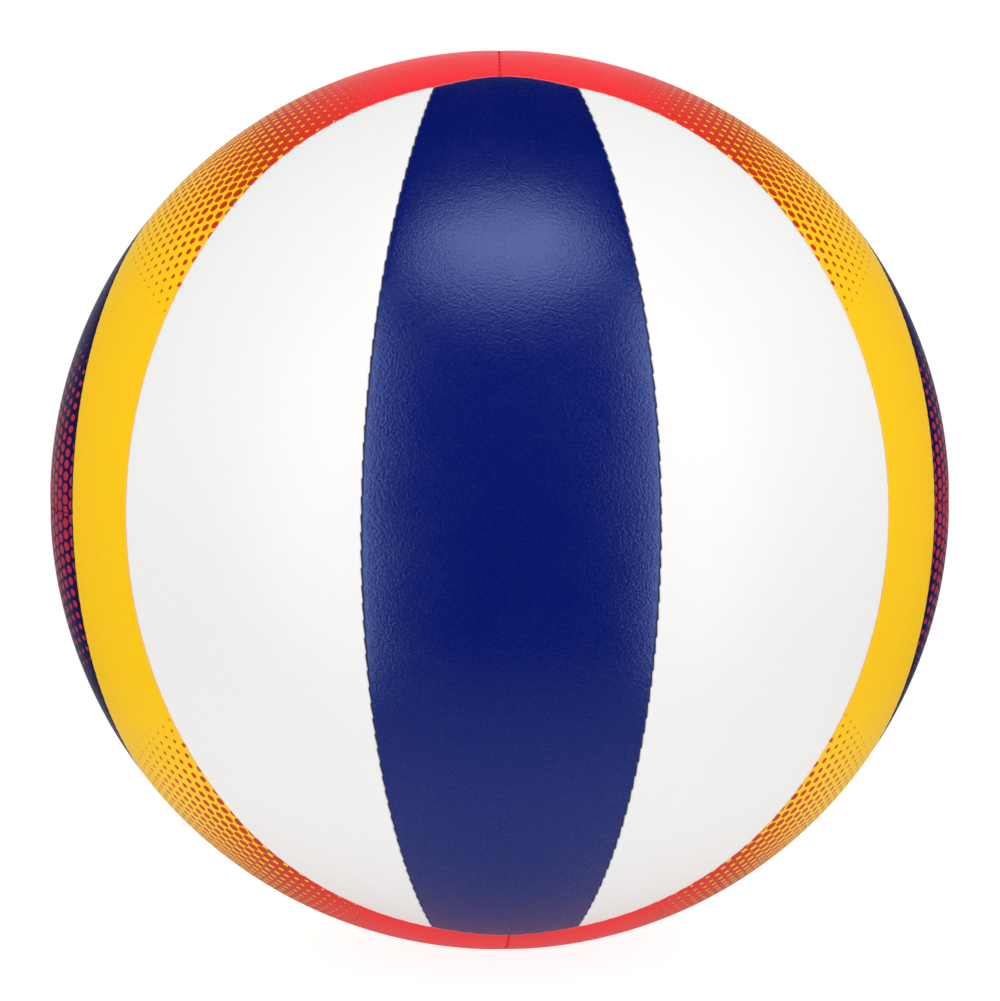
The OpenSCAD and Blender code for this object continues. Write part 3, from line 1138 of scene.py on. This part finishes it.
@dataclass(frozen=True)
class Cover:
    """The ten skins: the front half's five are modelled, and the rear half's are turned copies of them."""

    layout: Layout = Layout()
    right_drift: Drift = Drift(strip_top=1.2 * MM, strip_middle=0.06 * MM, strip_foot=0.8 * MM,
                               strip_quarters=-3.3 * MM, end_top=-0.92 * MM, end_foot=0.43 * MM)
    left_drift: Drift = Drift(strip_top=0.5 * MM, strip_middle=1.29 * MM, strip_foot=1.75 * MM,
                              strip_tilt=0.67 * MM, strip_quarters=-3.4 * MM, end_top=0.92 * MM,
                              end_foot=-0.43 * MM)
    side_runs: str = "low_corner low_side -side -corner strip"
    band_runs: str = ("band cap corner side -low_side -low_corner -low_cap -low_band low_front_lobe"
                      " -low_rear_lobe rear_lobe -front_lobe")
    rear_names: tuple[str, ...] = ("rear_centre_panel", "rear_upper_panel", "rear_lower_panel",
                                   "rear_upper_band", "rear_lower_band")
    tip_edges: int = 22

    def panels(self) -> tuple[Panel, ...]:
        """The front half's panels. A side panel's grid has a corner at tip_edges from each tip.

        Returns:
            The five panels.
        """
        layout = self.layout
        right = layout.seams(self.right_drift)
        left = {name: seam.flipped(x=-1) for name, seam in layout.seams(self.left_drift).items()}
        rim, length = layout.cap_stitches * 2 * layout.oval_cuts, layout.strip_stitches * layout.strip_cuts
        lobes, end = 4 * layout.lobe_stitches * layout.lobe_cuts, layout.band_stitches * layout.band_cuts
        tips = 2 * self.tip_edges
        side_grid = tips, length - tips, 2 * length - self.tip_edges
        centre = (*outline(left, "-low_cap"), *outline(right, "low_cap -strip -cap"),
                  *outline(left, "cap strip"))
        return (
            Panel("front_centre_panel", centre, rim, length, 0),
            Panel("front_right_panel", outline(right, self.side_runs), *side_grid),
            Panel("front_left_panel", other_way(outline(left, self.side_runs)), *side_grid),
            Panel("front_right_band", outline(right, self.band_runs), end, lobes, 0),
            Panel("front_left_band", other_way(outline(left, self.band_runs)), end, lobes, end + 2 * lobes),
        )

    def build(self, materials: Materials) -> list[Piece]:
        """Makes and dresses all ten skins.

        Args:
            materials: The materials by slot.

        Returns:
            The skins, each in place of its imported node.
        """
        fronts = [panel.build() for panel in self.panels()]
        rears = [turned_copy(skin, name) for skin, name in zip(fronts, self.rear_names)]
        ValveHole().cut(rears[0])
        for skin in fronts + rears:
            node = skin.name.removesuffix("_panel") + "_skin"
            enrol(skin, SLOTS[node], materials)
            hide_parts(node)
        return fronts + rears

    def sew(self, materials: Materials) -> list[Piece]:
        """Makes the stitches of the four seams between bands, two on each half.

        Args:
            materials: The materials by slot.

        Returns:
            The four rows of stitches.
        """
        seams = self.layout.seams(self.right_drift)
        upper = Stitches(seams["band"]).build("front_upper_stitches")
        lower = Stitches(seams["low_band"]).build("front_lower_stitches")
        rows = [upper, lower, turned_copy(upper, "rear_right_stitches"),
                turned_copy(lower, "rear_left_stitches")]
        for row in rows:
            enrol(row, THREAD_SLOT, materials)
        return rows


@dataclass(frozen=True)
class Stitches:
    """The threads that cross a seam between two bands, each a short bar with rounded ends."""

    seam: Seam
    length: float = 1.3 * MM
    thickness: float = 0.42 * MM
    depth: float = 0.27 * MM
    droop: float = 0.55
    rounding: float = 0.3
    smooth_below: float = radians(60)

    def thread(self) -> Piece:
        """Makes one stitch, along X at the ball's centre, with its ends rounded off and drawn down.

        Returns:
            The stitch.
        """
        bpy.ops.object.select_all(action="DESELECT")
        bpy.ops.mesh.primitive_cylinder_add(vertices=8, radius=self.thickness / 2, depth=self.length,
                                            rotation=(0, pi / 2, 0))
        thread = bpy.context.object
        bpy.ops.object.transform_apply(location=True, rotation=True, scale=True)
        with edit_mode(thread):
            bpy.ops.mesh.bisect(plane_co=(0, 0, 0), plane_no=(1, 0, 0))
        for vertex in thread.data.vertices:
            vertex.co.z -= self.thickness * self.droop * (vertex.co.x * 2 / self.length) ** 2
        rim = thread.modifiers.new("rounded_ends", "BEVEL")
        rim.width = self.thickness * self.rounding
        rim.segments = 2
        bpy.ops.object.modifier_apply(modifier=rim.name)
        bpy.ops.object.shade_smooth_by_angle(angle=self.smooth_below)
        return thread

    def build(self, name: str) -> Piece:
        """Lays a stitch at each of the seam's holes and joins them.

        Args:
            name: The row's name.

        Returns:
            The row of stitches.
        """
        model, seam = self.thread(), self.seam
        side = Vector(seam.axis)
        row = []
        for number in range(1, seam.stitches):
            up = Vector(seam.spoke(seam.azimuth(seam.end) * number / seam.stitches)[0])
            place = Matrix((side, up.cross(side), up)).transposed().to_4x4()
            place.translation = up * (BALL_R - self.depth)
            copy = model.copy()
            copy.data = model.data.copy()
            copy.data.transform(place)
            bpy.context.collection.objects.link(copy)
            row.append(copy)
        bpy.data.objects.remove(model)
        select_only(row[0])
        for copy in row:
            copy.select_set(True)
        bpy.ops.object.join()
        row[0].name = name
        return row[0]


@dataclass(frozen=True)
class ValveHole:
    """The round hole in the rear centre panel that the valve's head shows through."""

    radius: float = 4.6 * MM
    depth: float = 8.0 * MM

    def cut(self, skin: Piece) -> None:
        """Cuts the hole along +Y.

        Args:
            skin: The skin to cut through.
        """
        bpy.ops.mesh.primitive_cylinder_add(vertices=96, radius=self.radius, depth=self.depth,
                                            location=(0, BALL_R, 0), rotation=(pi / 2, 0, 0))
        drill = bpy.context.object
        select_only(skin)
        hole = skin.modifiers.new("valve_hole", "BOOLEAN")
        hole.operation = "DIFFERENCE"
        hole.solver = "EXACT"
        hole.object = drill
        bpy.ops.object.modifier_apply(modifier=hole.name)
        bpy.data.objects.remove(drill)
        bpy.ops.object.shade_smooth_by_angle(angle=SMOOTH_BELOW)


@dataclass(frozen=True)
class Softbox:
    """An oval studio lamp that faces the ball, placed by angles round it.

    Azimuth 0 is the camera's side, and the half angles are what the lamp spans as the ball sees it.
    """

    name: str
    azimuth: float
    elevation: float
    half_width: float
    half_height: float
    radiance: float
    mirrored_in_gloss: bool = True
    distance: float = 9.0

    def light(self) -> None:
        """Adds the lamp. Its power follows from its size, so that its face has the stated radiance."""
        turn, lift, away = radians(self.azimuth), radians(self.elevation), self.distance * BALL_R
        out = Vector((sin(turn) * cos(lift), -cos(turn) * cos(lift), sin(lift)))
        bpy.ops.object.light_add(type="AREA", location=out * away)
        lamp = bpy.context.object
        lamp.name = self.name
        lamp.rotation_euler = out.to_track_quat("Z", "Y").to_euler()
        lamp.data.shape = "ELLIPSE"
        lamp.data.size = 2 * away * tan(radians(self.half_width))
        lamp.data.size_y = 2 * away * tan(radians(self.half_height))
        face = pi / 4 * lamp.data.size * lamp.data.size_y
        lamp.data.energy = self.radiance * pi * face
        lamp.visible_glossy = self.mirrored_in_gloss
        lamp.visible_camera = False


@dataclass(frozen=True)
class Camera:
    """The camera, aimed and framed as the photograph's was. The shifts are in the picture's pixels."""

    distance: float = 5.5 * BALL_R
    yaw: float = radians(-1.63)
    pitch: float = radians(-2.82)
    roll: float = radians(0.2)
    ball_px: float = 449.6
    picture_px: float = 1001
    right_px: float = 0.33
    up_px: float = -0.59

    def build(self) -> None:
        """Adds the camera, turned about the ball's centre."""
        bpy.ops.object.camera_add()
        camera = bpy.context.object
        camera.name = "camera"
        turn = (Matrix.Rotation(self.yaw, 4, "Z") @ Matrix.Rotation(self.pitch, 4, "X")
                @ Matrix.Rotation(self.roll, 4, "Y"))
        camera.matrix_world = (turn @ Matrix.Translation((0, -self.distance, 0))
                               @ Matrix.Rotation(radians(90), 4, "X"))
        reach = sqrt((self.distance / BALL_R) ** 2 - 1)
        camera.data.lens = self.ball_px * reach / self.picture_px * camera.data.sensor_width
        camera.data.shift_x = self.right_px / self.picture_px
        camera.data.shift_y = self.up_px / self.picture_px
        bpy.context.scene.camera = camera


@dataclass(frozen=True)
class Studio:
    """The white floor, the surroundings, the lamps and the camera."""

    lamps: tuple[Softbox, ...] = (
        Softbox("left_softbox", -46, 3, 13, 42, 3.05),
        Softbox("right_softbox", 48.5, 6, 13, 42, 3.18),
        Softbox("top_softbox", 2, 63, 19, 13, 3.1),
        Softbox("rear_left_fill", -112, 5, 22, 34, 0.65, mirrored_in_gloss=False),
        Softbox("rear_right_fill", 112, 5, 22, 34, 0.65, mirrored_in_gloss=False),
        Softbox("rear_softbox", 180, 48, 26, 12, 3.2, mirrored_in_gloss=False),
        Softbox("rear_fill", 180, 5, 40, 40, 0.4, mirrored_in_gloss=False),
    )
    floor_gap: float = 0.05 * MM
    floor_reach: float = 2.2
    floor_core: float = 1.0
    fill: float = 0.335
    dark_gloss: float = 0.005
    rear_gloss: float = 1.0
    rear_depth: tuple[float, float] = (0.86, 0.12)
    upper_gloss: float = 0.12
    upper_depth: tuple[float, float] = (0.7, 0.1)
    upper_height: tuple[float, float] = (0.3, 0.1)
    floor_shade: float = 0.3
    floor_glow: float = 0.64
    floor_gloss: float = 0.2
    floor_white: float = 0.9

    def floor(self) -> None:
        """The pale round floor, which keeps the ball's shadow and fades into the white surroundings. It also
        glows, though it is no lamp: it lights the ball from below, shows in the ball's gloss, and is white to
        the camera.
        """
        bpy.ops.mesh.primitive_circle_add(vertices=96, radius=self.floor_reach * BALL_R, fill_type="NGON",
                                          location=(0, 0, -BALL_R - self.floor_gap))
        floor = bpy.context.object
        floor.name = "floor"
        made = bpy.data.materials.new("floor_paint")
        tree = ShaderTree(made)
        # The floor's glow: floor_glow lights the ball from below, floor_gloss shows in the ball's gloss, and
        # floor_white is what the camera sees.
        glow = tree.blend(tree.ray("Glossy"), (self.floor_glow,) * 3, (self.floor_gloss,) * 3)
        glow = tree.blend(tree.ray("Camera"), glow, (self.floor_white,) * 3)
        x, y, _ = tree.split(tree.place())
        away = tree.math("SQRT", x * x + y * y) / BALL_R
        there = ((self.floor_reach - away) / (self.floor_reach - self.floor_core)).clamped()
        tree.paint(Base_Color=(self.floor_shade,) * 3, Roughness=0.9, Emission_Color=glow,
                   Emission_Strength=1.0, Alpha=there)
        dress(floor, made)

    def surroundings(self) -> None:
        """A world that is white to the camera, and to gloss only straight behind the ball."""
        world = bpy.data.worlds.new("studio")
        bpy.context.scene.world = world
        tree = ShaderTree(world)
        _, depth, height = tree.split(tree.value("TexCoord", "Generated"))
        above = height.ramp(*self.upper_height) * depth.ramp(*self.upper_depth) * self.upper_gloss
        behind = depth.ramp(*self.rear_depth) * self.rear_gloss + above
        gloss = tree.ray("Glossy")
        level = gloss * (behind + self.dark_gloss) + (1 - gloss) * self.fill
        level = (level + tree.ray("Camera") + tree.ray("Transmission")).clamped()
        shade = tree.blend(level, (0.0, 0.0, 0.0), (1.0, 1.0, 1.0))
        backdrop = tree.node("Background", Color=shade, Strength=1.0)
        tree.node("OutputWorld", Surface=Value(tree, backdrop.outputs[0]))
        world.cycles.sampling_method = "NONE"

    def build(self) -> None:
        """Sets up the whole studio."""
        self.floor()
        self.surroundings()
        for lamp in self.lamps:
            lamp.light()
        Camera().build()
        bpy.context.scene.view_settings.view_transform = "Standard"


# The navy bands' dots use a darker, more purple copy of the red ink: painted shade for the dimmer light towards
# the ball's sides.
NAVY_PRINT_PAINTED_SHADE = DotPrint(pitch=2.62 * MM, middle=(0.0, 0.39, 0.92), row_turn=0.0, fade_start=radians(23),
                      fade_end=0.0, fullest=0.2, fade_power=1.0, fade_slant=0.0, stretch=1.95, stagger=0.4,
                      turned=True, thin_ink=srgb(190, 40, 68), full_ink=srgb(190, 40, 68))
FINISHES = (
    # Blue: the dark navy seam colour is painted shade in the seam's groove.
    Leather("blue_leather", (0.0, 0.006, 0.142), gloss=1.0, gloss_tint=(0.4, 0.54, 1.0), roughness=0.26,
            painted_seam_light_colour=srgb(24, 18, 66), painted_seam_light_share=0.95, painted_seam_light_reach=0.55 * MM),
    # White: the default grey seam colour is painted shade in the groove.
    Leather("white_leather", (0.9, 0.897, 0.89)),
    # Yellow: the light pink seam colour is a painted highlight on the rolled edge.
    Leather("yellow_leather", (1.0, 0.59, 0.002), dots=DotPrint(), gloss=0.08, sheen=0.07,
            painted_seam_light_colour=(1.0, 0.5, 0.45), painted_seam_light_share=0.4),
    # Navy: the dark seam colour is painted shade in the groove.
    Leather("navy_leather", srgb(24, 12, 76), dots=NAVY_PRINT_PAINTED_SHADE, gloss_tint=(0.6, 0.75, 1.0),
            painted_seam_light_colour=srgb(18, 10, 40), painted_seam_light_share=0.9, painted_seam_light_reach=0.8 * MM),
    Foam("foam", (0.8, 0.8, 0.78)),
    Cloth("lining_cloth", (0.85, 0.84, 0.8)),
    Rubber("bladder_rubber", (0.03, 0.03, 0.032), roughness=0.65),
    Rubber("valve_rubber", (0.04, 0.04, 0.042), roughness=0.5),
    Thread(THREAD_SLOT, (0.13, 0.004, 0.008)),
)


def main() -> None:
    """Builds the ball and its studio."""
    logging.basicConfig(level=logging.INFO, format="%(name)s: %(message)s")
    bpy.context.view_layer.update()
    materials = {finish.name: finish.material() for finish in FINISHES}
    Studio().build()
    cover = Cover()
    for piece in [*cover.build(materials), *cover.sew(materials)]:
        LOG.info("%s: %d faces", piece.name, len(piece.data.polygons))
    for name, node in frame["nodes"].items():
        if not node.hide_render:
            dress(node, materials[SLOTS[name]])


if __name__ == "__main__":
    main()
